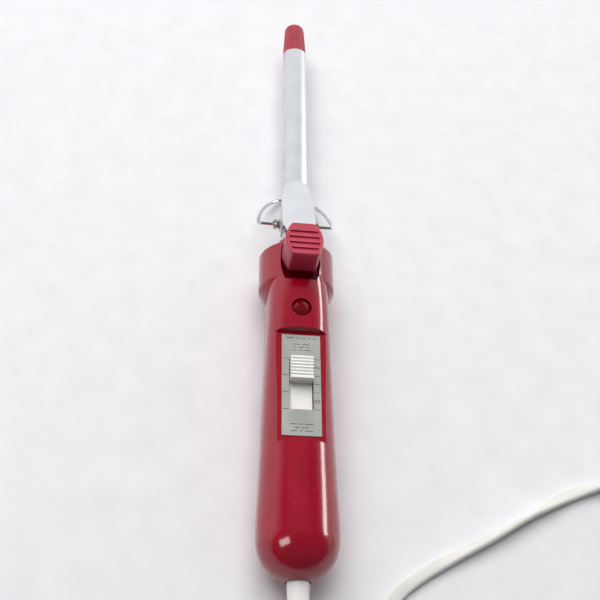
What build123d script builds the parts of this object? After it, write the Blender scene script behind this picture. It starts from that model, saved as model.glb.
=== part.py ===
from build123d import *
import os
from math import atan, cos, degrees, pi, radians, sin, tan

# A small spring-clip curling iron with its mains cord, in millimetres.
# The iron lies along Y, with its tip at +Y and its thumb lever up. A "station" is a distance along it
# from the rear end of the handle, and a "height" is a distance above the axis of the barrel.

IRON_LENGTH = 306.4
RELIEF_LENGTH = 26.0  # how far the strain relief stands out of the handle
COLLAR_RADIUS = 17.4  # the thickest part, which rests on the table
MIDDLE = (IRON_LENGTH - RELIEF_LENGTH) / 2

# Handle
HANDLE_SECTIONS = [  # station, half width, half height, squareness (2 is an ellipse)
    (17.0, 17.0, 17.0, 2.0),
    (34.5, 16.6, 17.0, 2.05),
    (56.0, 15.8, 17.0, 2.15),
    (79.0, 15.2, 17.0, 2.35),
    (103.0, 14.4, 17.1, 2.9),
    (123.0, 14.0, 17.2, 3.1),
    (140.0, 13.4, 16.6, 2.6),
]
SECTION_POINTS = 24  # round each section's outline
WALL = 2.0
CAVITY_END = 122.0
CAVITY_TOP = 12.3
COLLAR_TAPER = (124.0, 132.3)
COLLAR_ROOT = 13.2  # radius where the taper starts, inside the handle
COLLAR_FRONT = 159.0
SHOULDER = 8.7  # radius of the collar's rounded front edge
WELL_FLOOR = 8.6
WELL_BACK = (131.9, 129.9)  # stations of the well's rear wall, at its floor and at its rim
WELL_OUTLINE = [  # station, half width: the room that the lever and the arm sweep, and a small gap
    (128.0, 6.6),
    (133.5, 8.2),
    (138.5, 9.05),
    (144.5, 9.05),
    (148.0, 8.6),
    (151.2, 7.4),
    (153.0, 6.6),
    (164.0, 6.6),
]
POCKET = (53.6, 104.3)
POCKET_HALF_WIDTH = 10.8
POCKET_FLOOR = 13.6
POCKET_RAMP = 1.6
CORD_HOLE_RADIUS = 5.1
BUSH = (122.0, 126.4)
BUSH_RADIUS = 11.0
SCREW_STATIONS = (38.0, 103.5)
SCREW_SHANK = 1.4
SCREW_HEAD = 2.8
SCREW_SEAT = -9.0
SCREW_TOP = 8.0
BOSS_RADII = (3.6, 4.6)  # of the screw bosses in the upper and the lower shell

# Label, switch and pilot lamp
LABEL = (56.3, 103.0)
LABEL_WIDTH = 16.6
LABEL_THICKNESS = 0.4
SLOT = (68.0, 91.4)
SLOT_WIDTH = 10.2
KNOB = (80.7, 91.0)
KNOB_WIDTH = 9.6
KNOB_TOP = 18.0
SHUTTER_TOP = 12.1
SWITCH_TRAVEL = 12.6
SWITCH = (62.0, 97.0)
SWITCH_HEIGHTS = (3.6, 9.6)
SWITCH_WIDTH = 13.0
CONTACT_FLOOR = 7.0
STEM = (84.0, 88.0)
WIPER = (80.5, 89.5)
JEWEL_STATION = 115.4
JEWEL_RADIUS = 4.3
JEWEL_BASE_TOP = 15.6
WIRE_SLEEVE = 0.9  # radius of an insulated wire inside the handle
LEAD_OFFSET = 2.6  # of the two wires that go through the bush

# Barrel, heater and tip
BARREL_RADIUS = 6.35
BARREL_WALL = 0.5
BARREL = (122.4, 284.6)
BARREL_GAP = 0.4  # air round the barrel where it passes through the collar
HEATER = (150.0, 272.0)
TIP_RADII = (6.3, 5.3)
TIP_PLUG = 8.0  # how far the tip goes into the barrel
FLUTES = 16

# Clip, lever and stand
PIVOT = 171.2
CLIP_GAP = 0.15
CLIP_THICKNESS = 0.5
CLIP_HALF_ANGLE = 48.0
SPOON = (193.0, 283.9)
ARM_FRONT = (181.0, 8.0)  # station and height of the arm's underside
ARM_REAR = (137.0, 17.6)
ARM_THICKNESS = 0.7
ARM_HALF_WIDTHS = (5.0, 7.75)  # under the lever and at the pivot
EAR_FACES = (7.15, 7.75)
BAND_FACE = 7.0
RIVET_RADIUS = 1.6
LEVER = (134.0, 153.5)
LEVER_HALF_WIDTHS = (5.95, 8.55, 5.25)  # rear, middle and front
LEVER_TOPS = (30.8, 27.3)
LEVER_BOTTOMS = (17.2, 13.1)
RIB_PITCH = 3.2
LEVER_RIVETS = (141.0, 150.0)
WIRE_RADIUS = 0.85
STAND_REACH = 32.5
STAND_HALF_WIDTH = 18.2
STAND_DROOP = 30.5  # degrees below the axis, where the wire meets the table
STAND_BOW = (8, 26, 44, 62, 80)  # the bends on one side, as angles round the half ellipse

# Cord: a flat twin cord 5.6 mm wide, nearly 1.9 m long with its coil
CORD_RADIUS = 2.8
COIL_CENTRE = (185.9, -111.6)
COIL_RADIUS = 30.0  # of the middle turn
COIL_WIDTH = 16.8
COIL_HEIGHT = 9.0
COIL_LIFT = 1.0  # the tie goes under the turns
CORD_ROUTE = [
    (0, -166.2, 17.4),
    (0, -181, 15.8),
    (-4, -206, 5.0),
    (-10, -233, 2.85),
    (-3, -262, 2.85),
    (22, -281, 2.85),
    (53, -274, 2.85),
    (70, -249, 2.85),
    (67, -219, 2.85),
    (51, -195, 2.85),
    (38, -177, 2.85),
    (33.5, -158.5, 2.85),
    (40, -141, 2.85),
    (56.8, -128.8, 2.85),
    (80.5, -117.2, 2.85),
    (104, -104.8, 2.85),
    (125.2, -92.6, 2.85),
    (151, -86, 2.85),
    (178, -77.5, 4.1),
]
TAIL_ROUTE = [
    (221.4, -111.6, 7.1),
    (222.4, -127, 7.1),
    (220.6, -142, 8.0),
    (220, -155, 9.0),
]
PLUG_WIDTH = 24.0
PLUG_HEIGHT = 17.8
PLUG_LENGTH = 24.0
PLUG_NECK = 14.0
BLADE = (1.5, 17.0, 6.35)  # thickness, length outside the plug, width
BLADE_ROOT = 9.0  # how far a blade goes into the plug
BLADE_SPACING = 12.7

LOWEST = (Align.CENTER, Align.CENTER, Align.MIN)
SIDE = Plane(origin=(0, -MIDDLE, COLLAR_RADIUS), x_dir=(0, 1, 0), z_dir=(1, 0, 0))  # station, height


def y_at(station):
    return station - MIDDLE


def z_at(height):
    return COLLAR_RADIUS + height


def across(station):
    """A plane square to the barrel, with its own y axis pointing up."""
    return Plane(origin=(0, y_at(station), COLLAR_RADIUS), x_dir=(1, 0, 0), z_dir=(0, -1, 0))


def rod(radius, start, end, x=0.0, height=0.0):
    """A round bar parallel to the barrel, between two stations."""
    place = Pos(x, y_at(start), z_at(height)) * Rot(-90, 0, 0)
    return place * Cylinder(radius, end - start, align=LOWEST)


def tube(outer, inner, start, end):
    return rod(outer, start, end) - rod(inner, start - 1, end + 1)


def upright(radius, station, low, high, x=0.0):
    """A vertical round bar between two heights."""
    return Pos(x, y_at(station), z_at(low)) * Cylinder(radius, high - low, align=LOWEST)


def crosswise(radius, start, end, station=PIVOT, height=0.0):
    """A round bar along X, from start to end."""
    place = Pos(start, y_at(station), z_at(height)) * Rot(0, 90, 0)
    return place * Cylinder(radius, end - start, align=LOWEST)


def block(width, stations, heights, x=0.0):
    place = Pos(x, y_at(stations[0]), z_at(heights[0]))
    size = (width, stations[1] - stations[0], heights[1] - heights[0])
    return place * Box(*size, align=(Align.CENTER, Align.MIN, Align.MIN))


def side_shape(points, half_width):
    """A side outline, given as stations and heights, made as thick as the two half widths."""
    return extrude(SIDE * Polygon(*points, align=None), half_width, both=True)


def plan_shape(outline, low, high):
    """A plan outline, given as x and stations, between two heights."""
    return extrude(Pos(0, y_at(0), z_at(low)) * outline, high - low)


def mirrored(part):
    """The part and its mirror image on the other side of the iron."""
    return part + mirror(part, about=Plane.YZ)


def revolved(outline):
    """An outline of radii and stations, turned round the axis of the barrel."""
    return revolve(Pos(0, y_at(0), COLLAR_RADIUS) * outline, axis=Axis((0, 0, COLLAR_RADIUS), (0, 1, 0)))


def smooth_path(points):
    """Straight runs joined by arcs as large as the runs allow, with their radii and the runs."""
    corners = [Vector(*p) for p in points]
    runs = [b - a for a, b in zip(corners, corners[1:])]
    radii = [
        0.45 * min(a.length, b.length) / tan(radians(a.get_angle(b)) / 2) for a, b in zip(runs, runs[1:])
    ]
    return FilletPolyline(*corners, radius=radii), radii, runs


def swept_tube(path, radius):
    return sweep(Plane(origin=path @ 0, z_dir=path % 0) * Circle(radius), path)


# ---- Handle -------------------------------------------------------------------------------------


def squared_ellipse(half_width, half_height, squareness):
    """A closed outline between an ellipse and a rounded rectangle."""
    points = []
    for i in range(SECTION_POINTS):
        angle = 2 * pi * i / SECTION_POINTS
        c, s = cos(angle), sin(angle)
        reach = (abs(c) ** squareness + abs(s) ** squareness) ** (-1 / squareness)
        points.append((half_width * reach * c, half_height * reach * s))
    return make_face(Spline(*points, periodic=True))


def handle_loft(inset):
    first, width, height, _ = HANDLE_SECTIONS[0]
    sections = [across(first) * Ellipse(width - inset, height - inset)]
    sections += [across(s) * squared_ellipse(w - inset, h - inset, n) for s, w, h, n in HANDLE_SECTIONS[1:]]
    ball = Pos(0, y_at(first), COLLAR_RADIUS) * Sphere(width - inset)
    dome = ball & block(3 * width, (-1, first), (-2 * width, 2 * width))
    return dome + loft(sections)


def collar():
    start, full = COLLAR_TAPER
    side_end = COLLAR_FRONT - SHOULDER
    edges = [
        Line((0, start), (COLLAR_ROOT, start)),
        Line((COLLAR_ROOT, start), (COLLAR_RADIUS, full)),
        Line((COLLAR_RADIUS, full), (COLLAR_RADIUS, side_end)),
        RadiusArc((COLLAR_RADIUS, side_end), (COLLAR_RADIUS - SHOULDER, COLLAR_FRONT), SHOULDER),
        Line((COLLAR_RADIUS - SHOULDER, COLLAR_FRONT), (0, COLLAR_FRONT)),
        Line((0, COLLAR_FRONT), (0, start)),
    ]
    return revolved(make_face(edges))


def lever_well():
    """The notch in the collar that the lever goes down into, open at the front."""
    floor_back, rim_back = WELL_BACK
    high = 2 * COLLAR_RADIUS
    lean = (floor_back - rim_back) / (COLLAR_RADIUS - WELL_FLOOR)
    top_back = floor_back - lean * (high - WELL_FLOOR)
    front = COLLAR_FRONT + 5
    sides = side_shape(
        [(floor_back, WELL_FLOOR), (front, WELL_FLOOR), (front, high), (top_back, high)], COLLAR_RADIUS
    )
    right = [(half, station) for station, half in WELL_OUTLINE]
    left = [(-half, station) for half, station in reversed(right)]
    return sides & plan_shape(Polygon(*right, *left, align=None), 0, high)


def label_pocket():
    rear, front = POCKET
    high = COLLAR_RADIUS + 1
    outline = [(rear, POCKET_FLOOR), (front, POCKET_FLOOR), (front + POCKET_RAMP, high), (rear, high)]
    return side_shape(outline, POCKET_HALF_WIDTH)


def handle_outside():
    body = handle_loft(0) + collar()
    body -= lever_well() + label_pocket()
    body -= rod(BARREL_RADIUS + BARREL_GAP, BUSH[0], COLLAR_FRONT + 1)
    body -= rod(BUSH_RADIUS, *BUSH)
    body -= rod(CORD_HOLE_RADIUS, -1, WALL + 3)
    return body


def handle_cavity():
    room = handle_loft(WALL)
    limits = block(2 * COLLAR_RADIUS, (0, CAVITY_END), (-COLLAR_RADIUS, CAVITY_TOP))
    return room & limits


def collar_hollow():
    """The space round the barrel inside the collar, apart from under the lever's well."""
    ring = tube(COLLAR_RADIUS - WALL, BARREL_RADIUS + WALL, COLLAR_TAPER[1] + 1, COLLAR_FRONT - SHOULDER)
    widest = max(half for _, half in WELL_OUTLINE)
    under_well = block(2 * widest + 3, (COLLAR_TAPER[1], COLLAR_FRONT), (0, COLLAR_RADIUS))
    return ring - under_well


def handle_shells():
    whole = handle_outside() - handle_cavity() - collar_hollow()
    reach = (-5, COLLAR_FRONT + 5)
    upper = whole & block(3 * COLLAR_RADIUS, reach, (0, 2 * COLLAR_RADIUS))
    lower = whole & block(3 * COLLAR_RADIUS, reach, (-2 * COLLAR_RADIUS, 0))
    for station in SCREW_STATIONS:
        upper += upright(BOSS_RADII[0], station, 0, CAVITY_TOP + 0.3)
        upper -= upright(SCREW_SHANK, station, -1, SCREW_TOP)
        lower += upright(BOSS_RADII[1], station, -COLLAR_RADIUS + WALL, 0)
        lower -= upright(SCREW_HEAD + 0.3, station, -COLLAR_RADIUS - 1, SCREW_SEAT)
        lower -= upright(SCREW_SHANK + 0.1, station, SCREW_SEAT - 1, 1)
    lower += switch_posts()
    upper -= block(SLOT_WIDTH, SLOT, (CAVITY_TOP - 1, COLLAR_RADIUS))
    upper -= upright(JEWEL_RADIUS + 0.1, JEWEL_STATION, CAVITY_TOP - 1, COLLAR_RADIUS + 1)
    return upper, lower


def handle_screws():
    """Two screws, put in from below."""
    screws = []
    for station in SCREW_STATIONS:
        head = upright(SCREW_HEAD, station, SCREW_SEAT - 2, SCREW_SEAT)
        head -= Pos(0, y_at(station), z_at(SCREW_SEAT - 2)) * (Box(4.4, 0.7, 1.8) + Box(0.7, 4.4, 1.8))
        screws.append(head + upright(SCREW_SHANK, station, SCREW_SEAT, SCREW_TOP))
    return Compound(children=screws)


# ---- Label, switch, pilot lamp ------------------------------------------------------------------

def switch_posts():
    """Posts that stand on the lower shell and hold the switch up."""
    low = -COLLAR_RADIUS + WALL
    rear = block(10, (SWITCH[0] + 2, SWITCH[0] + 4), (low, SWITCH_HEIGHTS[0]))
    front = block(10, (SWITCH[1] - 4, SWITCH[1] - 2), (low, SWITCH_HEIGHTS[0]))
    return rear + front


def label_plate():
    low = POCKET_FLOOR
    plate = block(LABEL_WIDTH, LABEL, (low, low + LABEL_THICKNESS))
    return plate - block(SLOT_WIDTH, SLOT, (low - 1, low + 2))


def switch_body():
    body = block(SWITCH_WIDTH, SWITCH, SWITCH_HEIGHTS)
    groove = block(SWITCH_WIDTH - 3, (SWITCH[0] + 1.5, SWITCH[1] - 1.5), (CONTACT_FLOOR, CAVITY_TOP))
    return body - groove


def switch_contacts():
    """Three fixed contacts on the floor of the switch: off, low and high."""
    pitch = SWITCH_TRAVEL / 2
    heights = (CONTACT_FLOOR, CONTACT_FLOOR + 0.4)
    strips = [block(7, (66.2 + pitch * i, 70.6 + pitch * i), heights) for i in range(3)]
    return Compound(children=strips)


def switch_knob():
    """The ribbed knob, its stem and the white shutter behind it, moulded in one."""
    rear, front = KNOB
    knob = block(KNOB_WIDTH, KNOB, (SHUTTER_TOP - 0.2, KNOB_TOP))
    for i in range(6):
        notch = block(KNOB_WIDTH + 1, (-0.4, 0.4), (-0.4, 0.4)).rotate(
            Axis((0, y_at(0), z_at(0)), (1, 0, 0)), 45
        )
        knob -= Pos(0, rear + 1.4 + i * (front - rear - 2.8) / 5, KNOB_TOP) * notch
    shutter = block(KNOB_WIDTH, (rear - SWITCH_TRAVEL - 2, front), (SHUTTER_TOP - 0.6, SHUTTER_TOP))
    stem = block(3, STEM, (CONTACT_FLOOR + 2, SHUTTER_TOP))
    return knob + shutter + stem


def switch_wiper():
    """The moving contact under the knob's stem: a bridge on two feet."""
    rear, front = WIPER
    bridge = block(6, WIPER, (CONTACT_FLOOR + 1.4, CONTACT_FLOOR + 2))
    ends = ((rear, rear + 1), (front - 1, front))
    feet = [block(6, end, (CONTACT_FLOOR + 0.5, CONTACT_FLOOR + 2)) for end in ends]
    return bridge + feet


def pilot_jewel():
    base = upright(JEWEL_RADIUS, JEWEL_STATION, CAVITY_TOP - 1.2, JEWEL_BASE_TOP)
    crown_at = Pos(0, y_at(JEWEL_STATION), z_at(JEWEL_BASE_TOP)) * Rot(0, 0, 22.5)
    crown = crown_at * extrude(RegularPolygon(JEWEL_RADIUS, 8), 1.5, taper=35)
    return base + crown


def neon_lamp():
    return rod(2.2, 111.5, 117.5, height=7.6) + Pos(0, y_at(117.5), z_at(7.6)) * Sphere(2.2)


def lamp_resistor():
    body = rod(1.2, 100.0, 106.0, x=6.5, height=8.0)
    return body + rod(0.35, 98.5, 109.0, x=6.5, height=8.0)


def low_heat_diode():
    body = rod(1.5, 100.0, 106.0, x=-6.5, height=4.0)
    return body + rod(0.4, 97.5, 109.0, x=-6.5, height=4.0)


def wire(points, bend=3.0):
    """An insulated wire through places given as x, station and height, bent with one radius."""
    path = FilletPolyline(*[(x, y_at(s), z_at(h)) for x, s, h in points], radius=bend)
    return swept_tube(path, WIRE_SLEEVE)


def live_wire():
    return wire([(1.6, 8.2, 0), (1.6, 14, 0), (7, 30, 2), (3, 52, 6.4), (3, SWITCH[0], 6.4)])


def neutral_wire():
    x, end = -LEAD_OFFSET, BUSH[0] - 0.6
    return wire([(-1.6, 8.2, 0), (-1.6, 14, 0), (-9.5, 32, -4), (-9.5, 96, -4), (x, 114, 0), (x, end, 0)])


def switched_wire():
    x, end = LEAD_OFFSET, BUSH[0] - 0.6
    start = (5, SWITCH[1], 5)
    return wire([start, (5, 98.6, 5), (7, 102, 1), (7, 110, -1), (x, 117, 0), (x, end, 0)], bend=1.5)


# ---- Barrel, heater and tip ---------------------------------------------------------------------


def barrel_tube():
    return tube(BARREL_RADIUS, BARREL_RADIUS - BARREL_WALL, *BARREL)


def barrel_bush():
    """The heat-proof disc that holds the rear end of the barrel in the handle."""
    bush = rod(BUSH_RADIUS, *BUSH) - rod(BARREL_RADIUS, BARREL[0], BUSH[1] + 1)
    for x in (-LEAD_OFFSET, LEAD_OFFSET):
        bush -= rod(1.0, BUSH[0] - 1, BUSH[1], x=x)
    return bush


def heater_core():
    core = rod(4.0, *HEATER)
    for x in (-2.0, 2.0):
        core -= rod(0.6, HEATER[0] - 1, HEATER[1] + 1, x=x)
    return core


def heater_winding():
    """Turns of resistance ribbon on the ceramic core."""
    turns = [tube(4.4, 4.0, s, s + 2.2) for s in range(158, 266, 6)]
    return Compound(children=turns)


def mica_sleeve():
    return tube(5.7, 4.5, HEATER[0] + 2, HEATER[1])


def heater_leads():
    leads = [rod(0.55, 134.0, HEATER[0] + 12, x=x) for x in (-2.0, 2.0)]
    return Compound(children=leads)


def thermal_fuse():
    return rod(1.7, 136.0, 147.0, x=0, height=2.8)


def tip_outline():
    """Half of the tip's lengthways section: radii and stations."""
    base, end = TIP_RADII
    start, finish = BARREL[1] + 0.2, IRON_LENGTH
    nose = 3.0
    side = finish - nose
    edges = [
        Line((0, start), (base, start)),
        Line((base, start), (end, side)),
        Bezier((end, side), (end - 0.3, finish - 0.4), (end - 2.6, finish), (0, finish)),
        Line((0, finish), (0, start)),
    ]
    return make_face(edges)


def cool_tip():
    tip = revolved(tip_outline()) + rod(BARREL_RADIUS - BARREL_WALL, BARREL[1] - TIP_PLUG, BARREL[1] + 0.3)
    lean = degrees(atan((TIP_RADII[0] - TIP_RADII[1]) / (IRON_LENGTH - BARREL[1])))
    for i in range(FLUTES):
        flute = Pos(0, y_at(BARREL[1] + 1.6), COLLAR_RADIUS) * Rot(0, i * 360 / FLUTES, 0)
        flute *= Pos(0, 0, TIP_RADII[0] + 0.35) * Rot(-90 - lean, 0, 0)
        tip -= flute * Cylinder(0.85, 30, align=LOWEST)
    return tip


def tip_insulator():
    """A ceramic washer between the heater and the cool tip."""
    return rod(BARREL_RADIUS - BARREL_WALL, HEATER[1] + 0.4, HEATER[1] + 4)


# ---- Clip, lever, stand -------------------------------------------------------------------------


def arm_height(station):
    """The height of the arm's underside."""
    (front, low), (rear, high) = ARM_FRONT, ARM_REAR
    return low + (front - station) * (high - low) / (front - rear)


ARM_SLOPE = atan((ARM_REAR[1] - ARM_FRONT[1]) / (ARM_FRONT[0] - ARM_REAR[0]))
ARM_RISE = ARM_THICKNESS / cos(ARM_SLOPE)


def bent_strip(station, radius, half_angle, top):
    """A section of sheet metal bent to a radius, with the middle of its outside at the given height."""
    outer, inner = radius + CLIP_THICKNESS, radius
    edges = []
    for r, way in ((outer, 1), (inner, -1)):
        a, b = (r * sin(radians(half_angle)), r * cos(radians(half_angle))), (0, r)
        points = [(-a[0], a[1]), b, a]
        edges.append((points[::way], r))
    (out, _), (inn, _) = edges
    lines = [ThreePointArc(*out), Line(out[-1], inn[0]), ThreePointArc(*inn), Line(inn[-1], out[0])]
    return across(station) * Pos(0, top - outer) * make_face(lines)


def clip_spoon():
    """The clip in one piece of sheet: the spoon, the flared arm and the two ears of the hinge."""
    radius = BARREL_RADIUS + CLIP_GAP
    start, end = SPOON
    top = radius + CLIP_THICKNESS
    section = bent_strip(end, radius, CLIP_HALF_ANGLE, top)
    spoon = extrude(section, end - start, dir=(0, -1, 0))
    flat = 60.0
    flare_end = bent_strip(
        ARM_FRONT[0], flat, degrees(ARM_HALF_WIDTHS[1] / flat), ARM_FRONT[1] + ARM_RISE
    )
    flare = loft([bent_strip(start, radius, CLIP_HALF_ANGLE, top), flare_end], ruled=True)
    front, rear = ARM_FRONT[0] + 0.3, ARM_REAR[0]
    arm = side_shape(
        [
            (front, arm_height(front)),
            (rear, arm_height(rear)),
            (rear, arm_height(rear) + ARM_RISE),
            (front, arm_height(front) + ARM_RISE),
        ],
        ARM_HALF_WIDTHS[1],
    )
    narrow, wide = ARM_HALF_WIDTHS
    outline = Polygon(
        (-wide, front), (-wide, 163), (-narrow, 157), (-narrow, rear),
        (narrow, rear), (narrow, 157), (wide, 163), (wide, front), align=None,
    )
    arm &= plan_shape(outline, 0, 30)
    arm -= Compound(children=[arm_rivet_hole(s) for s in LEVER_RIVETS])
    return spoon + flare + arm + mirrored(clip_ear())


def clip_ear():
    inner, outer = EAR_FACES
    front, rear = ARM_FRONT[0], 162.0
    plate = side_shape(
        [
            (front, arm_height(front) + 0.3),
            (PIVOT + 3.2, 1.2),
            (PIVOT, -3.4),
            (PIVOT - 3.2, -1.2),
            (rear, arm_height(rear) - 4),
            (rear, arm_height(rear) + 0.3),
        ],
        outer,
    )
    plate += crosswise(3.4, -outer, outer)
    plate &= block(outer - inner, (150, 190), (-10, 20), x=(outer + inner) / 2)
    return plate - crosswise(RIVET_RADIUS + 0.06, 0, 20)


def arm_frame(station):
    """A place on the arm's underside, with its z axis square to the arm."""
    return Pos(0, y_at(station), z_at(arm_height(station))) * Rot(-degrees(ARM_SLOPE), 0, 0)


def arm_rivet_hole(station):
    return arm_frame(station) * Cylinder(1.2, 4)


def lever_rivets():
    rivets = []
    for station, drop in zip(LEVER_RIVETS, (0.05, 0.5)):
        place = arm_frame(station)
        head = place * Pos(0, 0, -drop - 0.6) * Cylinder(2.2, 0.6, align=LOWEST)
        rivets.append(head + place * Pos(0, 0, -drop) * Cylinder(1.2, 5 + drop, align=LOWEST))
    return Compound(children=rivets)


def thumb_lever():
    rear, front = LEVER
    rear_half, middle_half, front_half = LEVER_HALF_WIDTHS
    middle = (rear + front) / 2
    outline = make_face(
        [
            Line((-rear_half, rear), (rear_half, rear)),
            ThreePointArc((rear_half, rear), (middle_half, middle), (front_half, front)),
            Line((front_half, front), (-front_half, front)),
            ThreePointArc((-front_half, front), (-middle_half, middle), (-rear_half, rear)),
        ]
    )
    profile = side_shape(
        [(rear, LEVER_BOTTOMS[0]), (front, LEVER_BOTTOMS[1]), (front, LEVER_TOPS[1]), (rear, LEVER_TOPS[0])],
        middle_half + 1,
    )
    lever = plan_shape(outline, 0, 40) & profile
    channel = side_shape(
        [
            (rear + 2, 0),
            (front + 1, 0),
            (front + 1, arm_height(front + 1) + ARM_RISE),
            (rear + 2, arm_height(rear + 2) + ARM_RISE),
        ],
        ARM_HALF_WIDTHS[0] + 0.1,
    )
    lever -= channel
    slope = degrees(atan((LEVER_TOPS[0] - LEVER_TOPS[1]) / (front - rear)))
    for i in range(5):
        at = rear + 3.6 + i * RIB_PITCH
        top = LEVER_TOPS[0] - (at - rear) * tan(radians(slope))
        half = 4.6 + 1.6 * sin(pi * (at - rear) / (front - rear))
        lever -= Pos(0, y_at(at), z_at(top)) * Rot(-slope, 0, 0) * Box(2 * half, 0.9, 1.8)
    for station in LEVER_RIVETS:
        lever -= arm_frame(station) * Cylinder(1.2, 5, align=LOWEST)
    return lever


def lever_spring():
    """The bent leaf between the arm and the floor of the well."""
    path = FilletPolyline(
        (145.5, arm_height(145.5) - 0.25), (169.0, arm_height(169) - 0.25), (144.0, 8.95), radius=0.8
    )
    leaf = extrude(SIDE * trace(path, 0.35), 3.0, both=True)
    return leaf - arm_frame(LEVER_RIVETS[1]) * Cylinder(1.25, 6)


def pivot_band():
    """The strap clamped on the barrel, with a flat on each side for the rivets."""
    half = 5.0
    stations = (PIVOT - half, PIVOT + half)
    band = rod(BAND_FACE, *stations) + block(2 * BAND_FACE, stations, (-3.6, 3.6))
    band -= rod(BARREL_RADIUS, stations[0] - 1, stations[1] + 1)
    return band - crosswise(RIVET_RADIUS, -20, 20)


def pivot_rivet():
    """A hollow rivet: the ear turns on its shank and the stand's wire turns in its bore."""
    start, head = BARREL_RADIUS + 0.1, EAR_FACES[1] + 0.2
    outline = Polygon(
        (start, 0), (start, RIVET_RADIUS), (head, RIVET_RADIUS), (head, 2.5), (head + 0.5, 2.5),
        (head + 0.8, 1.8), (head + 1.1, 1.8), (head + 1.5, 2.5), (head + 2.2, 2.7), (head + 2.9, 2.5),
        (head + 3.3, 1.6), (head + 3.3, 0), align=None,
    )
    spun = revolve(outline, axis=Axis.X)
    rivet = Pos(0, y_at(PIVOT), COLLAR_RADIUS) * spun
    return rivet - crosswise(WIRE_RADIUS + 0.06, head - 0.6, 20)


def pivot_rivets():
    rivet = pivot_rivet()
    return Compound(children=[rivet, mirror(rivet, about=Plane.YZ)])


def stand_wire():
    """One wire bent to a half ellipse, whose two ends turn in the rivets."""
    bow = [(STAND_HALF_WIDTH * cos(radians(a)), STAND_REACH * sin(radians(a))) for a in STAND_BOW]
    half = [(EAR_FACES[1] + 0.4, 0), (STAND_HALF_WIDTH, 0), *bow]
    points = half + [(-x, y) for x, y in reversed(half)]
    wire_bent = swept_tube(smooth_path([(x, y, 0) for x, y in points])[0], WIRE_RADIUS)
    return Pos(0, y_at(PIVOT), COLLAR_RADIUS) * Rot(-STAND_DROOP, 0, 0) * wire_bent


# ---- Cord ---------------------------------------------------------------------------------------


def strain_relief():
    """The tapered sleeve on the cord, with a flange inside the handle."""
    outline = Polygon(
        (0, -RELIEF_LENGTH), (3.4, -RELIEF_LENGTH), (4.55, 0), (4.55, 3.9), (6.6, 3.9), (6.6, 5.8),
        (4.0, 5.8), (4.0, 8.2), (0, 8.2), align=None,
    )
    return revolved(outline)


def cord_tube(points, name):
    path, radii, runs = smooth_path(points)
    cord = swept_tube(path, CORD_RADIUS)
    share = cord.volume / (pi * CORD_RADIUS**2 * path.length)
    print(name, "length", round(path.length, 1), "volume share", round(share, 4))
    print(name, "radii", [round(r, 1) for r in radii], "runs", [round(r.length, 1) for r in runs])
    return cord


def coil_section(grow=0.0):
    """The coil's cross-section, beside its own upright axis."""
    height = COIL_LIFT + COIL_HEIGHT / 2
    return Pos(COIL_RADIUS, height) * RectangleRounded(COIL_WIDTH + grow, COIL_HEIGHT + grow, 3 + grow / 2)


def cord_coil():
    return Pos(*COIL_CENTRE, 0) * revolve(Plane.XZ * coil_section(), axis=Axis.Z)


def cord_tie():
    """A strap round the turns."""
    strap = Plane.XZ * (coil_section(1.6) - coil_section(0.2))
    return Pos(*COIL_CENTRE, 0) * Rot(0, 0, -60) * extrude(strap, 4.0, both=True)


def plug_place():
    x, y, z = TAIL_ROUTE[-1]
    return Pos(x, y, z) * Rot(90, 0, 0)


def blade_bars(grow=0.0):
    """The two blades as plain bars, from inside the plug to their tips."""
    start = PLUG_NECK + PLUG_LENGTH - BLADE_ROOT
    bar = Box(BLADE[0] + grow, BLADE[2] + grow, BLADE[1] + BLADE_ROOT, align=LOWEST)
    return [plug_place() * Pos(side * BLADE_SPACING / 2, 0, start) * bar for side in (-1, 1)]


def plug_body():
    """A two-blade plug lying on its side, with a tapered neck where the cord goes in."""
    neck = loft([Circle(3.6), Pos(0, 0, PLUG_NECK) * RectangleRounded(15, 12, 3)])
    grip = Pos(0, 0, PLUG_NECK) * Box(PLUG_WIDTH, PLUG_HEIGHT, PLUG_LENGTH, align=LOWEST)
    grip = fillet(grip.edges().filter_by(Axis.Z), 4.0)
    grip = fillet(grip.faces().sort_by(Axis.Z)[0].edges(), 2.5)
    for side in (-1, 1):
        for i in range(4):
            groove = Cylinder(0.8, PLUG_HEIGHT + 2)
            grip -= Pos(side * (PLUG_WIDTH / 2 + 0.25), 0, PLUG_NECK + 6 + 3.4 * i) * Rot(90, 0, 0) * groove
    return plug_place() * (neck + grip) - blade_bars(0.04)


def plug_blades():
    hole = plug_place() * Pos(0, 0, PLUG_NECK + PLUG_LENGTH + 12) * Rot(0, 90, 0) * Cylinder(1.6, PLUG_WIDTH)
    return Compound(children=[bar - hole for bar in blade_bars()])


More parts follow.
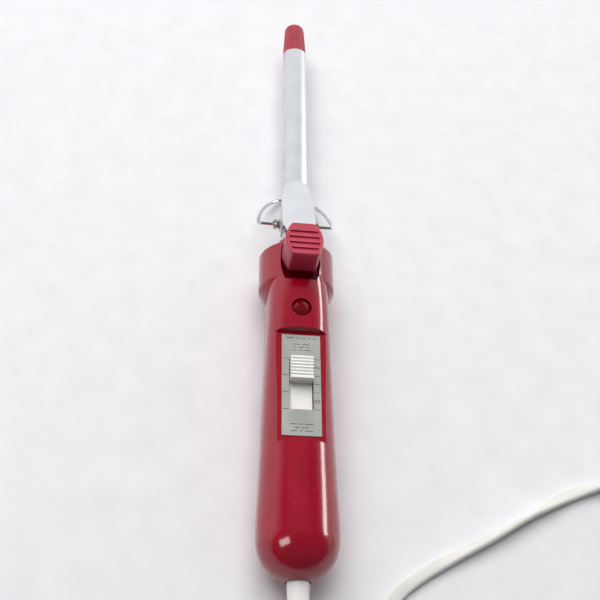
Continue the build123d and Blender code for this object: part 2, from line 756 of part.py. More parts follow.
def build():
    upper, lower = handle_shells()
    return {
        "upper_shell": upper,
        "lower_shell": lower,
        "handle_screws": handle_screws(),
        "label_plate": label_plate(),
        "pilot_jewel": pilot_jewel(),
        "neon_lamp": neon_lamp(),
        "lamp_resistor": lamp_resistor(),
        "low_heat_diode": low_heat_diode(),
        "switch_body": switch_body(),
        "switch_contacts": switch_contacts(),
        "switch_knob": switch_knob(),
        "switch_wiper": switch_wiper(),
        "live_wire": live_wire(),
        "neutral_wire": neutral_wire(),
        "switched_wire": switched_wire(),
        "barrel_tube": barrel_tube(),
        "barrel_bush": barrel_bush(),
        "heater_core": heater_core(),
        "heater_winding": heater_winding(),
        "heater_leads": heater_leads(),
        "mica_sleeve": mica_sleeve(),
        "thermal_fuse": thermal_fuse(),
        "tip_insulator": tip_insulator(),
        "cool_tip": cool_tip(),
        "pivot_band": pivot_band(),
        "pivot_rivets": pivot_rivets(),
        "clip_spoon": clip_spoon(),
        "thumb_lever": thumb_lever(),
        "lever_rivets": lever_rivets(),
        "lever_spring": lever_spring(),
        "stand_wire": stand_wire(),
        "strain_relief": strain_relief(),
        "power_cord": cord_tube(CORD_ROUTE, "power_cord"),
        "cord_tail": cord_tube(TAIL_ROUTE, "cord_tail"),
        "cord_coil": cord_coil(),
        "cord_tie": cord_tie(),
        "plug_body": plug_body(),
        "plug_blades": plug_blades(),
    }


os.makedirs("parts", exist_ok=True)
for node, part in build().items():
    export_step(part, f"parts/{node}.step")
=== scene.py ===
import bpy
from math import cos, hypot, pi, radians, sin
from mathutils import Matrix, Vector


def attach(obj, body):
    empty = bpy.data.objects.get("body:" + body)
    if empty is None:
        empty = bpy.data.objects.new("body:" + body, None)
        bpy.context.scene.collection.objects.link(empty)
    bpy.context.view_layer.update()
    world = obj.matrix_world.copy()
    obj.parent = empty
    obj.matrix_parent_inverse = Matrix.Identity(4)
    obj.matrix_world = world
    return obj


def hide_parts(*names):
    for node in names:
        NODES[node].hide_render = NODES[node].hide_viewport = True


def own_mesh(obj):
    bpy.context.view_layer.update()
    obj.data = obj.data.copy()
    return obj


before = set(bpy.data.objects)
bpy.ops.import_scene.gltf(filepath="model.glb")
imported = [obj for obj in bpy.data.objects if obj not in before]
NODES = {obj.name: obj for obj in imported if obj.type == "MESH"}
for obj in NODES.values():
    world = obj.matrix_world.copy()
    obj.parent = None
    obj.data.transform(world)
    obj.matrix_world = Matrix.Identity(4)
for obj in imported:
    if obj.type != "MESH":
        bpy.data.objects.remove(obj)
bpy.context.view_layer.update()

# A small curling iron: the CAD frame, with its looks. Metres, +Y towards the tip, +Z up.

MM = 0.001
MIDDLE = 140.2  # station of the origin, in mm from the handle's rear end
AXIS_Z = 17.4  # height of the barrel's axis above the table, in mm
GAMMA = 2.2


def at(x, station, height):
    """A point given in mm: sideways, along the iron, and above the barrel's axis."""
    return Vector((x * MM, (station - MIDDLE) * MM, (AXIS_Z + height) * MM))


def rgb(red, green, blue):
    """A screen colour, 0 to 255, as a linear one."""
    return tuple((c / 255) ** GAMMA for c in (red, green, blue)) + (1.0,)


# ---- Materials ----------------------------------------------------------------------------------


class Surface:
    """A material's node tree, with short ways to add to it."""

    def __init__(self, name):
        self.material = bpy.data.materials.new(name)
        self.material.use_nodes = True
        self.tree = self.material.node_tree
        self.shader = self.tree.nodes["Principled BSDF"]
        self.place = self.tree.nodes.new("ShaderNodeTexCoord").outputs["Object"]

    def link(self, source, target):
        self.tree.links.new(source, target)

    def give(self, socket, value):
        """Links the value to the socket if it is a socket itself, and otherwise sets it there."""
        if isinstance(value, bpy.types.NodeSocket):
            self.link(value, socket)
        else:
            socket.default_value = value

    def stretched(self, stretch):
        """The object coordinates, scaled by three numbers."""
        node = self.tree.nodes.new("ShaderNodeMapping")
        node.inputs["Scale"].default_value = stretch
        self.link(self.place, node.inputs["Vector"])
        return node.outputs["Vector"]

    def noise(self, scale, detail, stretch=None):
        """A noise from 0 to 1, with its scale in cells per metre."""
        node = self.tree.nodes.new("ShaderNodeTexNoise")
        node.inputs["Scale"].default_value = scale
        node.inputs["Detail"].default_value = detail
        self.link(self.stretched(stretch) if stretch else self.place, node.inputs["Vector"])
        return node.outputs["Fac"]

    def ramp(self, source, *stops):
        """A colour ramp with two stops: each is a position and a linear colour."""
        node = self.tree.nodes.new("ShaderNodeValToRGB")
        for element, (position, colour) in zip(node.color_ramp.elements, stops):
            element.position, element.color = position, colour
        self.link(source, node.inputs["Fac"])
        return node.outputs["Color"]

    def spread(self, source, low, high, start=0.3, end=0.7):
        """A number that goes from low to high as the source goes from start to end."""
        node = self.tree.nodes.new("ShaderNodeMapRange")
        ends = {"From Min": start, "From Max": end, "To Min": low, "To Max": high}
        for name, value in ends.items():
            node.inputs[name].default_value = value
        self.link(source, node.inputs["Value"])
        return node.outputs["Result"]

    def mix(self, factor, first, second):
        """A mix of two colours. The numbers are the colour sockets of a Mix node."""
        node = self.tree.nodes.new("ShaderNodeMix")
        node.data_type = "RGBA"
        for socket, value in ((0, factor), (6, first), (7, second)):
            self.give(node.inputs[socket], value)
        return node.outputs[2]

    def bump(self, source, height):
        """Adds a relief of that height, in metres, on top of any relief already there."""
        node = self.tree.nodes.new("ShaderNodeBump")
        node.inputs["Distance"].default_value = height
        node.inputs["Strength"].default_value = 1.0
        self.link(source, node.inputs["Height"])
        before = self.shader.inputs["Normal"].links
        if before:
            self.link(before[0].from_socket, node.inputs["Normal"])
        self.link(node.outputs["Normal"], self.shader.inputs["Normal"])

    def set(self, **values):
        """Sets the shader's sockets by name, with underscores for spaces."""
        for name, value in values.items():
            self.give(self.shader.inputs[name.replace("_", " ")], value)


# Scales of the noises, in cells per metre.
MOTTLE_SCALE = 70.0
STAIN_SCALE = 90.0
WAVE_SCALE = 160.0
SCUFF_SCALE = 260.0
DUST_SCALE = 1300.0
DUST_COLOUR = rgb(214, 196, 196)
DUST_PEAKS = (0.74, 0.78)  # only the noise's few peaks are dust
LENGTHWISE = (1.0, 0.16, 1.0)  # draws scuffs out a little along the iron


def moulded(name, dark, light, rough, grain=0.00001, grain_scale=2500.0, wave=0.0, specks=True):
    """Moulded plastic: slight mottling, a fine grain, faint scuffs and a few specks of dust."""
    s = Surface(name)
    mottle = s.noise(MOTTLE_SCALE, 4.0)
    colour = s.ramp(mottle, (0.3, rgb(*dark)), (0.7, rgb(*light)))
    if specks:
        dust = s.spread(s.noise(DUST_SCALE, 2.0), 0.0, 0.5, *DUST_PEAKS)
        colour = s.mix(dust, colour, DUST_COLOUR)
    scuffs = s.noise(SCUFF_SCALE, 5.0, LENGTHWISE)
    s.set(Base_Color=colour, Roughness=s.spread(scuffs, rough * 0.8, rough * 1.35))
    if wave:
        s.bump(s.noise(WAVE_SCALE, 1.0), wave)
    s.bump(s.noise(grain_scale, 2.0), grain)
    return s


ALONG = (1.0, 0.05, 1.0)  # draws a texture out into lines along the iron
ACROSS = (0.05, 1.0, 1.0)


def metal(name, dark, light, rough, stretch=ALONG, scale=1500.0, relief=0.0000015, metallic=1.0):
    """Metal with fine lines, stains and a varying polish; satin plate is less metallic."""
    s = Surface(name)
    stains = s.noise(STAIN_SCALE, 5.0)
    lines = s.noise(scale, 3.0, stretch)
    colour = s.ramp(stains, (0.32, rgb(*dark)), (0.62, rgb(*light)))
    polish = s.spread(lines, rough * 0.85, rough * 1.15)
    s.set(Base_Color=colour, Metallic=metallic, Roughness=polish)
    s.bump(lines, relief)
    return s


def dress(surface, *pieces):
    """Gives pieces, or CAD nodes by name, this one material."""
    for piece in pieces:
        piece = NODES[piece] if isinstance(piece, str) else piece
        piece.data.materials.clear()
        piece.data.materials.append(surface.material)


handle_plastic = moulded("handle_gloss", (148, 9, 36), (158, 13, 42), 0.13, wave=0.00003)
handle_plastic.set(Coat_Weight=0.3, Coat_Roughness=0.08)
lever_plastic = moulded("lever_satin", (168, 46, 68), (178, 54, 76), 0.33, grain_scale=1800.0)
tip_plastic = moulded("tip_satin", (160, 42, 60), (172, 50, 68), 0.36, grain=0.00002)
knob_plastic = moulded("knob_white", (232, 232, 227), (242, 242, 238), 0.36)
cord_vinyl = moulded("cord_vinyl", (216, 215, 208), (227, 226, 220), 0.42, 0.00003, 1400.0)
relief_vinyl = moulded("relief_vinyl", (228, 226, 220), (240, 239, 235), 0.38, grain=0.00002)
plug_vinyl = moulded("plug_vinyl", (224, 222, 212), (235, 233, 225), 0.4, 0.00004, 1100.0)
black_plastic = moulded("phenolic_black", (26, 24, 24), (38, 35, 34), 0.45, specks=False)
ceramic = moulded("ceramic", (206, 200, 186), (224, 219, 206), 0.7, grain=0.00004, specks=False)
mica = moulded("mica", (150, 132, 98), (186, 168, 128), 0.3, specks=False)
wire_sleeve = moulded("wire_sleeve", (188, 186, 180), (214, 212, 206), 0.4, specks=False)
component = moulded("component", (92, 74, 52), (122, 100, 72), 0.4, specks=False)
lamp_glass = moulded("lamp_glass", (220, 120, 70), (240, 150, 90), 0.08, specks=False)
lamp_glass.set(Transmission_Weight=0.7, IOR=1.5)

clip_metal = metal(
    "clip_satin", (207, 210, 213), (216, 219, 222), 0.36, metallic=0.5, relief=0.0000008,
)
barrel_metal = metal("barrel_satin", (200, 201, 203), (218, 219, 221), 0.24, metallic=0.7)
chrome = metal("chrome", (196, 196, 198), (222, 222, 224), 0.07, relief=0.000001)
rivet_metal = metal("rivet_plate", (186, 178, 166), (212, 206, 196), 0.16, relief=0.000002)
steel = metal("steel", (150, 150, 150), (184, 184, 182), 0.28)
brass = metal("brass", (176, 142, 82), (206, 174, 112), 0.24)
ribbon = metal("ribbon", (120, 116, 110), (150, 146, 140), 0.4)
label_metal = metal(
    "label_brushed", (178, 180, 175), (196, 198, 192), 0.38, ACROSS, 2600.0, metallic=0.5,
)

dress(handle_plastic, "upper_shell", "lower_shell")
dress(tip_plastic, "cool_tip")
dress(knob_plastic, "switch_knob")
dress(relief_vinyl, "strain_relief")
dress(plug_vinyl, "plug_body")
dress(black_plastic, "switch_body", "barrel_bush")
dress(ceramic, "heater_core", "tip_insulator")
dress(mica, "mica_sleeve")
dress(wire_sleeve, "live_wire", "neutral_wire", "switched_wire")
dress(component, "lamp_resistor", "low_heat_diode", "thermal_fuse")
dress(lamp_glass, "neon_lamp")
dress(clip_metal, "clip_spoon")
dress(barrel_metal, "barrel_tube", "pivot_band")
dress(chrome, "stand_wire")
dress(rivet_metal, "pivot_rivets")
dress(steel, "handle_screws", "lever_rivets")
dress(brass, "switch_contacts", "switch_wiper", "plug_blades")
dress(ribbon, "heater_winding", "heater_leads")
dress(label_metal, "label_plate")


# ---- Mesh helpers -------------------------------------------------------------------------------


def mesh_object(name, points, faces, surface, smooth=True):
    """A new object in the scene with this mesh and material."""
    mesh = bpy.data.meshes.new(name)
    mesh.from_pydata([tuple(p) for p in points], [], faces)
    mesh.validate()
    if smooth:
        mesh.shade_smooth()
    piece = bpy.data.objects.new(name, mesh)
    bpy.context.scene.collection.objects.link(piece)
    dress(surface, piece)
    return piece


def mesh_of(name, data):
    """A new mesh with the evaluated shape of a curve or a text."""
    carrier = bpy.data.objects.new(name, data)
    bpy.context.scene.collection.objects.link(carrier)
    bpy.context.view_layer.update()
    depsgraph = bpy.context.evaluated_depsgraph_get()
    mesh = bpy.data.meshes.new_from_object(carrier.evaluated_get(depsgraph))
    bpy.data.objects.remove(carrier)
    return mesh


def eased(share):
    """A share from 0 to 1 with a slow start and a slow end."""
    return share * share * (3 - 2 * share)


def skin(rings, closed_ends=True):
    """Points and faces of a skin over rings that all have the same number of points."""
    count = len(rings[0])
    points = [p for ring in rings for p in ring]
    faces = []
    for i in range(len(rings) - 1):
        for j in range(count):
            k = (j + 1) % count
            faces.append((i * count + j, i * count + k, (i + 1) * count + k, (i + 1) * count + j))
    if closed_ends:
        faces.append(tuple(reversed(range(count))))
        faces.append(tuple(range(len(points) - count, len(points))))
    return points, faces


# ---- Cord ---------------------------------------------------------------------------------------

CORD_WIDTH = 0.0056
CORD_THICK = 0.0026
CORD_SIDES = 20  # points round the cord's section
CORD_STEPS = 6  # points of its line to each point of its route
# The cord's route, and how far it is turned from lying flat at each point, in degrees.
CORD_ROUTE = [
    ((0.0, -0.1662, 0.0174), 0),
    ((0.0, -0.181, 0.0158), 0),
    ((-0.004, -0.206, 0.005), 0),
    ((-0.010, -0.233, 0.0015), 0),
    ((-0.003, -0.262, 0.0015), 0),
    ((0.022, -0.281, 0.0015), 0),
    ((0.053, -0.274, 0.0015), 0),
    ((0.070, -0.249, 0.0015), 0),
    ((0.067, -0.219, 0.0015), 0),
    ((0.051, -0.195, 0.0015), 0),
    ((0.038, -0.177, 0.0015), 0),
    ((0.0335, -0.1585, 0.0015), 0),
    ((0.040, -0.141, 0.0015), 4),
    ((0.0568, -0.1288, 0.0016), 14),
    ((0.0805, -0.1172, 0.0027), 52),
    ((0.104, -0.1048, 0.0032), 84),
    ((0.1252, -0.0926, 0.0019), 12),
    ((0.151, -0.086, 0.0031), 80),
    ((0.178, -0.0775, 0.0024), 0),
]
TAIL_ROUTE = [
    ((0.2214, -0.1116, 0.0080), 0),
    ((0.2224, -0.127, 0.0078), 0),
    ((0.2206, -0.142, 0.0083), 0),
    ((0.220, -0.155, 0.009), 0),
]
COIL_CENTRE = (0.1859, -0.1116)
COIL_START = 103  # degrees round the coil where the cord joins it
COIL_STEP = 22.5  # degrees from one point to the next, clockwise
COIL_POINTS = 116
COIL_SLOTS = [  # radius and height of each turn in mm, from the first to the last
    (35.4, 2.5), (30.0, 2.5), (24.6, 2.5), (24.8, 5.5),
    (30.2, 5.5), (35.4, 5.5), (31.2, 8.5), (33.0, 8.4),
]
COIL_SHIFT = 0.3  # share of a turn in which the cord moves over to the next one
# How unevenly the turns lie, out and up: by how many mm, and how fast it changes.
COIL_UNEVEN = ((0.35, 2.3), (0.12, 1.7))
GROOVE_HALF = 0.62  # half width of the cord's groove, as a share of a conductor's offset
GROOVE_DEPTH = 0.3  # as a share of the cord's half thickness


def coil_points():
    """The turns of the coil as points of the cord's own spline."""
    points = []
    outside = 1 / cos(radians(COIL_STEP / 2))  # the spline runs inside its points
    (out_by, out_rate), (up_by, up_rate) = COIL_UNEVEN
    for i in range(1, COIL_POINTS + 1):
        turned = i * COIL_STEP / 360
        turn = min(int(turned), len(COIL_SLOTS) - 2)
        (r0, z0), (r1, z1) = COIL_SLOTS[turn], COIL_SLOTS[turn + 1]
        share = (turned - turn - (1 - COIL_SHIFT)) / COIL_SHIFT
        share = eased(min(1.0, max(0.0, share)))
        radius = (r0 + (r1 - r0) * share + out_by * sin(out_rate * i)) * outside * MM
        height = (z0 + (z1 - z0) * share + up_by * sin(up_rate * i)) * MM
        angle = radians(COIL_START - i * COIL_STEP)
        x, y = COIL_CENTRE[0] + radius * cos(angle), COIL_CENTRE[1] + radius * sin(angle)
        points.append(((x, y, height), 0))
    return points


def spline_line(points, resolution):
    """Points along a smooth spline that has these as its control points."""
    curve = bpy.data.curves.new("route", "CURVE")
    curve.dimensions = "3D"
    spline = curve.splines.new("NURBS")
    spline.points.add(len(points) - 1)
    for point, place in zip(spline.points, points):
        point.co = (*place, 1.0)
    spline.order_u = 3
    spline.use_endpoint_u = True
    spline.resolution_u = resolution
    mesh = mesh_of("route", curve)
    line = [v.co.copy() for v in mesh.vertices]
    bpy.data.meshes.remove(mesh)
    return line


def twin_section():
    """The flat cord's section: two round conductors side by side, with a shallow groove between."""
    half, radius = (CORD_WIDTH - CORD_THICK) / 2, CORD_THICK / 2
    section = []
    for i in range(CORD_SIDES):
        angle = 2 * pi * (i + 0.5) / CORD_SIDES
        side = 1 if cos(angle) > 0 else -1
        x = side * half + radius * cos(angle)
        z = radius * sin(angle)
        middle = max(0.0, 1 - abs(x) / (GROOVE_HALF * half))
        section.append((x, z * (1 - GROOVE_DEPTH * middle)))
    return section


def twisted(line, twists):
    """The flat cord's skin along a line, turned by the twists of the line's control points."""
    section = twin_section()
    last = len(line) - 1
    spans = len(twists) - 2
    rings = []
    for i, centre in enumerate(line):
        ahead = (line[min(i + 1, last)] - line[max(i - 1, 0)]).normalized()
        level = ahead.cross(Vector((0, 0, 1))).normalized()
        upward = level.cross(ahead)
        place = min(max(i / last * spans + 0.5, 0.0), len(twists) - 1.0)
        k = min(int(place), len(twists) - 2)
        angle = radians(twists[k] + (twists[k + 1] - twists[k]) * eased(place - k))
        wide = level * cos(angle) + upward * sin(angle)
        thick = upward * cos(angle) - level * sin(angle)
        rings.append([centre + wide * x + thick * z for x, z in section])
    return skin(rings)


route = CORD_ROUTE + coil_points() + TAIL_ROUTE
cord_line = spline_line([place for place, _ in route], CORD_STEPS)
cord_skin = twisted(cord_line, [turn for _, turn in route])
cord = mesh_object("flat_cord", *cord_skin, cord_vinyl)
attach(cord, "handle")
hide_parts("power_cord", "cord_tail", "cord_coil")
cord_length = sum((b - a).length for a, b in zip(cord_line, cord_line[1:]))
print("cord length", round(cord_length, 3))

TIE_ANGLE = -60  # where the strap sits round the coil, in degrees
TIE_WIDTH = 7.0
TIE_THICK = 0.7
TIE_EDGE = 0.25  # bevel of its outer edges
TIE_BEND = 1.3  # how far from a corner the strap starts to bend
TIE_CORNERS = [  # its inner side: distance from the coil's centre, and height
    (21.4, 1.1), (38.8, 1.1), (39.0, 7.2), (35.4, 10.2), (26.6, 10.2), (21.3, 7.2),
]


def tie_strap():
    """A strap drawn round the turns, which hugs the three layers."""
    inner = []
    for i, (r, z) in enumerate(TIE_CORNERS):
        (r0, z0), (r1, z1) = TIE_CORNERS[i - 1], TIE_CORNERS[(i + 1) % len(TIE_CORNERS)]
        before, after = hypot(r0 - r, z0 - z), hypot(r1 - r, z1 - z)
        start = (r + (r0 - r) * TIE_BEND / before, z + (z0 - z) * TIE_BEND / before)
        end = (r + (r1 - r) * TIE_BEND / after, z + (z1 - z) * TIE_BEND / after)
        for t in (0.0, 0.25, 0.5, 0.75, 1.0):
            a, b, c = (1 - t) ** 2, 2 * t * (1 - t), t * t
            inner.append((a * start[0] + b * r + c * end[0], a * start[1] + b * z + c * end[1]))
    count = len(inner)
    outer = []
    for i, (r, z) in enumerate(inner):
        (r0, z0), (r1, z1) = inner[i - 1], inner[(i + 1) % count]
        long = hypot(r1 - r0, z1 - z0)
        outer.append((r + (z1 - z0) / long * TIE_THICK, z - (r1 - r0) / long * TIE_THICK))
    angle = radians(TIE_ANGLE)
    out, side = Vector((cos(angle), sin(angle), 0)), Vector((-sin(angle), cos(angle), 0))
    centre = Vector((*COIL_CENTRE, 0))
    half = TIE_WIDTH / 2
    flank = half - TIE_EDGE
    sections = [(inner, -half), (outer, -flank), (outer, flank), (inner, half)]
    rings = [
        [centre + (out * r + side * across + Vector((0, 0, z))) * MM for r, z in loop]
        for loop, across in sections
    ]
    points, faces = skin(rings, closed_ends=False)
    last = 3 * count  # the first point of the last ring, which is joined to the first ring
    faces += [(last + j, last + (j + 1) % count, (j + 1) % count, j) for j in range(count)]
    return points, faces


tie_vinyl = moulded("tie_vinyl", (232, 232, 228), (243, 243, 240), 0.5, 0.00005, 900.0)
tie = mesh_object("cord_strap", *tie_strap(), tie_vinyl)
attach(tie, "handle")
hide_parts("cord_tie")


# ---- Thumb lever --------------------------------------------------------------------------------

LEVER_ENDS = (134.0, 153.5)  # stations
LEVER_TOP = (30.8, 27.3)  # heights of the pad's rear and front edges
LEVER_BOTTOM = (17.2, 13.1)
LEVER_HALF = (5.95, 8.55, 5.25)  # half widths at the rear, the middle and the front
LEVER_EDGE = 1.1  # radius of the pad's edges
LEVER_EDGE_STEPS = (0.0, 0.04, 0.13, 0.28, 0.48, 0.75, LEVER_EDGE)  # distances in from the ends
LEVER_SIDE_STEPS = (0.0, 0.03, 0.1)  # extra points close to the sides
LEVER_STEP = 0.15  # spacing of the rings between the edges
LEVER_ACROSS = 64  # divisions across the top
RIDGES = (138.0, 3.4, 4)  # station of the first step, pitch and count
RIDGE_DEPTH = 0.8
RIDGE_END = 0.4  # a tooth rises to its full depth over this, at its two ends
RIM = 1.5  # plain rim round the ridges


def rounding(distance, radius):
    """How far a rounded edge lies below its corner, at a distance in from the edge."""
    inside = radius - min(max(distance, 0.0), radius)
    return radius - (radius * radius - inside * inside) ** 0.5


def lever_half(station):
    """The pad's half width at a station: widest at its middle."""
    rear, middle, front = LEVER_HALF
    centre = sum(LEVER_ENDS) / 2
    share = (station - centre) / (LEVER_ENDS[1] - centre)
    return middle - (middle - (front if share > 0 else rear)) * share * share


def ridge_depth(station, inset):
    """Depth of the saw-tooth grip: each tooth slopes down towards the tip and ends in a step."""
    first, pitch, count = RIDGES
    phase = (station - first) / pitch + 1
    if phase < 0 or phase > count or inset < RIM:
        return 0.0
    edge = min(1.0, (inset - RIM) / RIDGE_END)
    return RIDGE_DEPTH * (phase - int(phase)) * edge


def between(share, pair):
    """The value at a share of the way from the first of a pair to the second."""
    return pair[0] + (pair[1] - pair[0]) * share


def thumb_lever():
    """The pad: rings across it from the rear to the front, with rounded edges and a ridged top."""
    rear, front = LEVER_ENDS
    stations = [rear + d for d in LEVER_EDGE_STEPS]
    while stations[-1] < front - LEVER_EDGE - LEVER_STEP:
        stations.append(stations[-1] + LEVER_STEP)
    stations += [front - d for d in reversed(LEVER_EDGE_STEPS)]
    rings = []
    for station in stations:
        share = (station - rear) / (front - rear)
        ends = min(station - rear, front - station)
        # Towards its two ends the pad draws in half as much as its top comes down.
        half = lever_half(station) - 0.5 * rounding(ends, LEVER_EDGE)
        top = between(share, LEVER_TOP) - rounding(ends, LEVER_EDGE)
        bottom = between(share, LEVER_BOTTOM)
        middle = (bottom + top) / 2
        ring = [at(-half, station, bottom), at(-half, station, middle)]
        across = [half * (2 * i / LEVER_ACROSS - 1) for i in range(1, LEVER_ACROSS)]
        left = [-half + d for d in LEVER_SIDE_STEPS]
        right = [half - d for d in reversed(LEVER_SIDE_STEPS)]
        for x in left + across + right:
            inset = half - abs(x)
            lowered = rounding(inset, LEVER_EDGE) + ridge_depth(station, inset)
            ring.append(at(x, station, top - lowered))
        ring += [at(half, station, middle), at(half, station, bottom)]
        rings.append(ring)
    return skin(rings)


lever = mesh_object("thumb_grip", *thumb_lever(), lever_plastic)
lever.data.set_sharp_from_angle(angle=radians(38))
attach(lever, "clip")
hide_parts("thumb_lever")


# ---- Leaf spring under the lever ----------------------------------------------------------------

ARM_REAR = (137.0, 17.6)  # station and height of the arm's underside
ARM_FRONT = (181.0, 8.0)
ARM_SLOPE = (ARM_REAR[1] - ARM_FRONT[1]) / (ARM_FRONT[0] - ARM_REAR[0])
LEAF_ROOT = 145.5  # station where the leaf starts on the arm
LEAF_HALF = (3.0, 0.18)  # half width and half thickness
LEAF_UPPER = [(LEAF_ROOT, 0.25), (157.0, 0.25), (167.2, 0.3)]  # stations and gaps below the arm
LEAF_LOWER = [  # stations and heights round the loop and back to the floor of the well
    (168.6, 9.9), (168.7, 9.35), (167.4, 9.1), (160.0, 8.95), (152.0, 8.8), (147.0, 8.85),
    (144.4, 9.3),
]


def arm_under(station):
    """Height of the arm's underside at a station."""
    return ARM_FRONT[1] + (ARM_FRONT[0] - station) * ARM_SLOPE


def leaf_spring():
    """A bent leaf: along the arm, round a small loop, and back to the well's floor."""
    middle = [(station, arm_under(station) - gap) for station, gap in LEAF_UPPER] + LEAF_LOWER
    wide, thick = LEAF_HALF
    corners = ((-wide, -1), (wide, -1), (wide, 1), (-wide, 1))
    rings = []
    for i, (s, h) in enumerate(middle):
        s0, h0 = middle[max(i - 1, 0)]
        s1, h1 = middle[min(i + 1, len(middle) - 1)]
        long = hypot(s1 - s0, h1 - h0)
        ds, dh = -(h1 - h0) / long * thick, (s1 - s0) / long * thick
        rings.append([at(x, s + side * ds, h + side * dh) for x, side in corners])
    return skin(rings)


spring_steel = metal("spring_steel", (140, 140, 142), (176, 176, 176), 0.2)
spring = mesh_object("leaf_spring", *leaf_spring(), spring_steel)
spring.data.set_sharp_from_angle(angle=radians(50))
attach(spring, "clip")
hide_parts("lever_spring")
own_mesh(spring)


# ---- Pilot jewel --------------------------------------------------------------------------------

JEWEL_STATION = 115.4
JEWEL_SIDES = 12
JEWEL_RINGS = [  # radius, height and turn, in sides: the base, the girdle, the crown and the table
    (4.22, 13.6, 0.0), (4.22, 15.85, 0.0), (3.15, 16.75, 0.5), (1.9, 17.08, 0.5),
]


def jewel_ring(radius, height, turn):
    angles = [2 * pi * (i + turn) / JEWEL_SIDES for i in range(JEWEL_SIDES)]
    return [at(radius * cos(a), JEWEL_STATION + radius * sin(a), height) for a in angles]


def pilot_jewel():
    """A rose-cut lens: a round base, a girdle, pointed facets and a flat table."""
    points = [point for ring in JEWEL_RINGS for point in jewel_ring(*ring)]
    girdle, crown, table = JEWEL_SIDES, 2 * JEWEL_SIDES, 3 * JEWEL_SIDES  # each ring's first point
    faces = [tuple(reversed(range(JEWEL_SIDES))), tuple(range(table, len(points)))]
    for i in range(JEWEL_SIDES):
        j = (i + 1) % JEWEL_SIDES
        faces.append((i, j, girdle + j, girdle + i))
        faces.append((girdle + i, girdle + j, crown + i))
        faces.append((girdle + j, crown + j, crown + i))
        faces.append((crown + i, crown + j, table + j, table + i))
    return points, faces


jewel_glass = moulded("jewel_red", (104, 2, 8), (124, 4, 12), 0.05, grain=0.000002, specks=False)
jewel = mesh_object("jewel_lens", *pilot_jewel(), jewel_glass, smooth=False)
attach(jewel, "handle")
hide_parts("pilot_jewel")


# ---- Marks on the label plate -------------------------------------------------------------------

LABEL_TOP = 14.0
INK = 0.02  # thickness of the printed marks
INK_ROOT = 0.05  # how far they go down into the plate
SLOT_ENDS = (68.0, 91.4)
ZONES = 3
SCALE_X = 6.7  # distance of the scale's ticks and numerals from the label's middle
TICK = (2.6, 0.28)  # width and length
WORD_GAP = 0.9
WORD_LENGTH = 0.34  # of a word's bar, along the iron
ROWS = [  # each row's station, and the widths of its words
    (101.4, (3.6, 1.4, 2.0, 1.2, 1.4)),
    (98.4, (3.2, 3.0)),
    (97.0, (1.6, 2.2, 1.4)),
    (95.6, (2.0, 1.6, 2.4)),
    (61.4, (3.0, 1.4, 3.6)),
    (59.8, (1.8, 3.0)),
    (58.4, (2.8, 1.2, 3.4)),
]
NUMERAL_SIZE = 3.4


def bars(places):
    """Thin printed bars: each is x, station, width and length."""
    points, faces = [], []
    for x, station, wide, long in places:
        n = len(points)
        for height in (LABEL_TOP - INK_ROOT, LABEL_TOP + INK):
            for sx, sy in ((-1, -1), (1, -1), (1, 1), (-1, 1)):
                points.append(at(x + sx * wide / 2, station + sy * long / 2, height))
        faces += [(n + 4, n + 5, n + 6, n + 7), (n + 3, n + 2, n + 1, n)]
        faces += [(n + i, n + (i + 1) % 4, n + 4 + (i + 1) % 4, n + 4 + i) for i in range(4)]
    return points, faces


zone = (SLOT_ENDS[1] - SLOT_ENDS[0]) / ZONES
marks = [
    (side * SCALE_X, SLOT_ENDS[0] + zone * i, *TICK) for side in (-1, 1) for i in range(ZONES + 1)
]
for station, words in ROWS:
    x = -(sum(words) + WORD_GAP * (len(words) - 1)) / 2
    for word in words:
        marks.append((x + word / 2, station, word, WORD_LENGTH))
        x += word + WORD_GAP

ink = moulded("ink", (84, 78, 78), (112, 104, 104), 0.5, specks=False)
print_marks = mesh_object("label_marks", *bars(marks), ink, smooth=False)
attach(print_marks, "handle")


def numeral(text, x, station):
    """A raised numeral, read from the iron's right-hand side."""
    curve = bpy.data.curves.new("numeral", "FONT")
    curve.body, curve.size, curve.extrude = text, NUMERAL_SIZE * MM, INK * MM
    curve.align_x = curve.align_y = "CENTER"
    mesh = mesh_of("numeral", curve)
    quarter_turn = Matrix.Rotation(pi / 2, 4, "Z")
    mesh.transform(Matrix.Translation(at(x, station, LABEL_TOP)) @ quarter_turn)
    piece = bpy.data.objects.new(f"numeral_{text}", mesh)
    bpy.context.scene.collection.objects.link(piece)
    dress(ink, piece)
    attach(piece, "handle")


for i, text in enumerate("012"):
    numeral(text, SCALE_X, SLOT_ENDS[0] + zone * (i + 0.5))


# ---- Stage: floor, lights and camera ------------------------------------------------------------

FLOOR = 3.0  # half its width
DARK_SIDE = (0.0, -0.68, 0.733)  # the direction in which the room is dark
ROOM = [(0.02, (0.98, 0.98, 1.0, 1.0)), (0.26, (0.14, 0.14, 0.15, 1.0))]  # from pale to dark

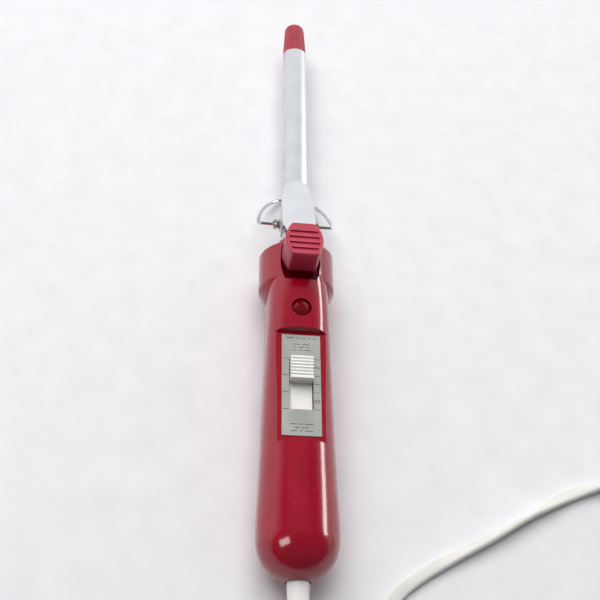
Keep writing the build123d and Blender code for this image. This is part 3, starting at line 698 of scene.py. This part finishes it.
floor_paint = moulded(
    "floor_paper", (234, 234, 236), (240, 240, 242), 0.7, grain=0.00002, specks=False,
)
corners = [(x * FLOOR, y * FLOOR, 0) for x, y in ((-1, -1), (1, -1), (1, 1), (-1, 1))]
floor = mesh_object("floor", corners, [(0, 1, 2, 3)], floor_paint)

world = bpy.data.worlds.new("studio")
bpy.context.scene.world = world
world.use_nodes = True
room, link = world.node_tree.nodes, world.node_tree.links.new
sky = room.new("ShaderNodeValToRGB")
direction = room.new("ShaderNodeTexCoord")
facing = room.new("ShaderNodeVectorMath")
facing.operation = "DOT_PRODUCT"
facing.inputs[1].default_value = DARK_SIDE
link(direction.outputs["Generated"], facing.inputs[0])
link(facing.outputs["Value"], sky.inputs["Fac"])
link(sky.outputs["Color"], room["Background"].inputs["Color"])
for element, (position, colour) in zip(sky.color_ramp.elements, ROOM):
    element.position, element.color = position, colour
room["Background"].inputs["Strength"].default_value = 1.0


def softbox(name, place, target, size, power):
    """A rectangular light at a place, turned to a target, with its size in metres and its watts."""
    light = bpy.data.lights.new(name, "AREA")
    light.shape = "RECTANGLE"
    light.size, light.size_y = size
    light.energy = power
    lamp = bpy.data.objects.new(name, light)
    lamp.location = place
    lamp.rotation_euler = (Vector(target) - Vector(place)).to_track_quat("-Z", "Y").to_euler()
    bpy.context.scene.collection.objects.link(lamp)
    return lamp


overhead = softbox("overhead", (-0.3, 0.75, 1.5), (0, 0, 0), (1.6, 1.6), 30)
overhead.visible_glossy = False  # the polish shows the room and the two windows, not this lamp
right_window = softbox("right_window", (1.036, 0.461, 0.42), (0, 0, 0.03), (0.82, 0.26), 6.4)
left_window = softbox("left_window", (-0.82, -0.395, 0.86), (0, -0.128, 0.03), (0.34, 0.6), 4.2)
# The windows show only as highlights.
right_window.visible_diffuse = left_window.visible_diffuse = False

camera = bpy.data.objects.new("camera", bpy.data.cameras.new("camera"))
camera.data.lens = 55.1
camera.location = (-0.0514, -0.2298, 0.3753)
camera.rotation_euler = (radians(31.24), radians(-8.17), radians(-0.48))
bpy.context.scene.collection.objects.link(camera)
bpy.context.scene.camera = camera
bpy.context.scene.view_settings.view_transform = "Standard"
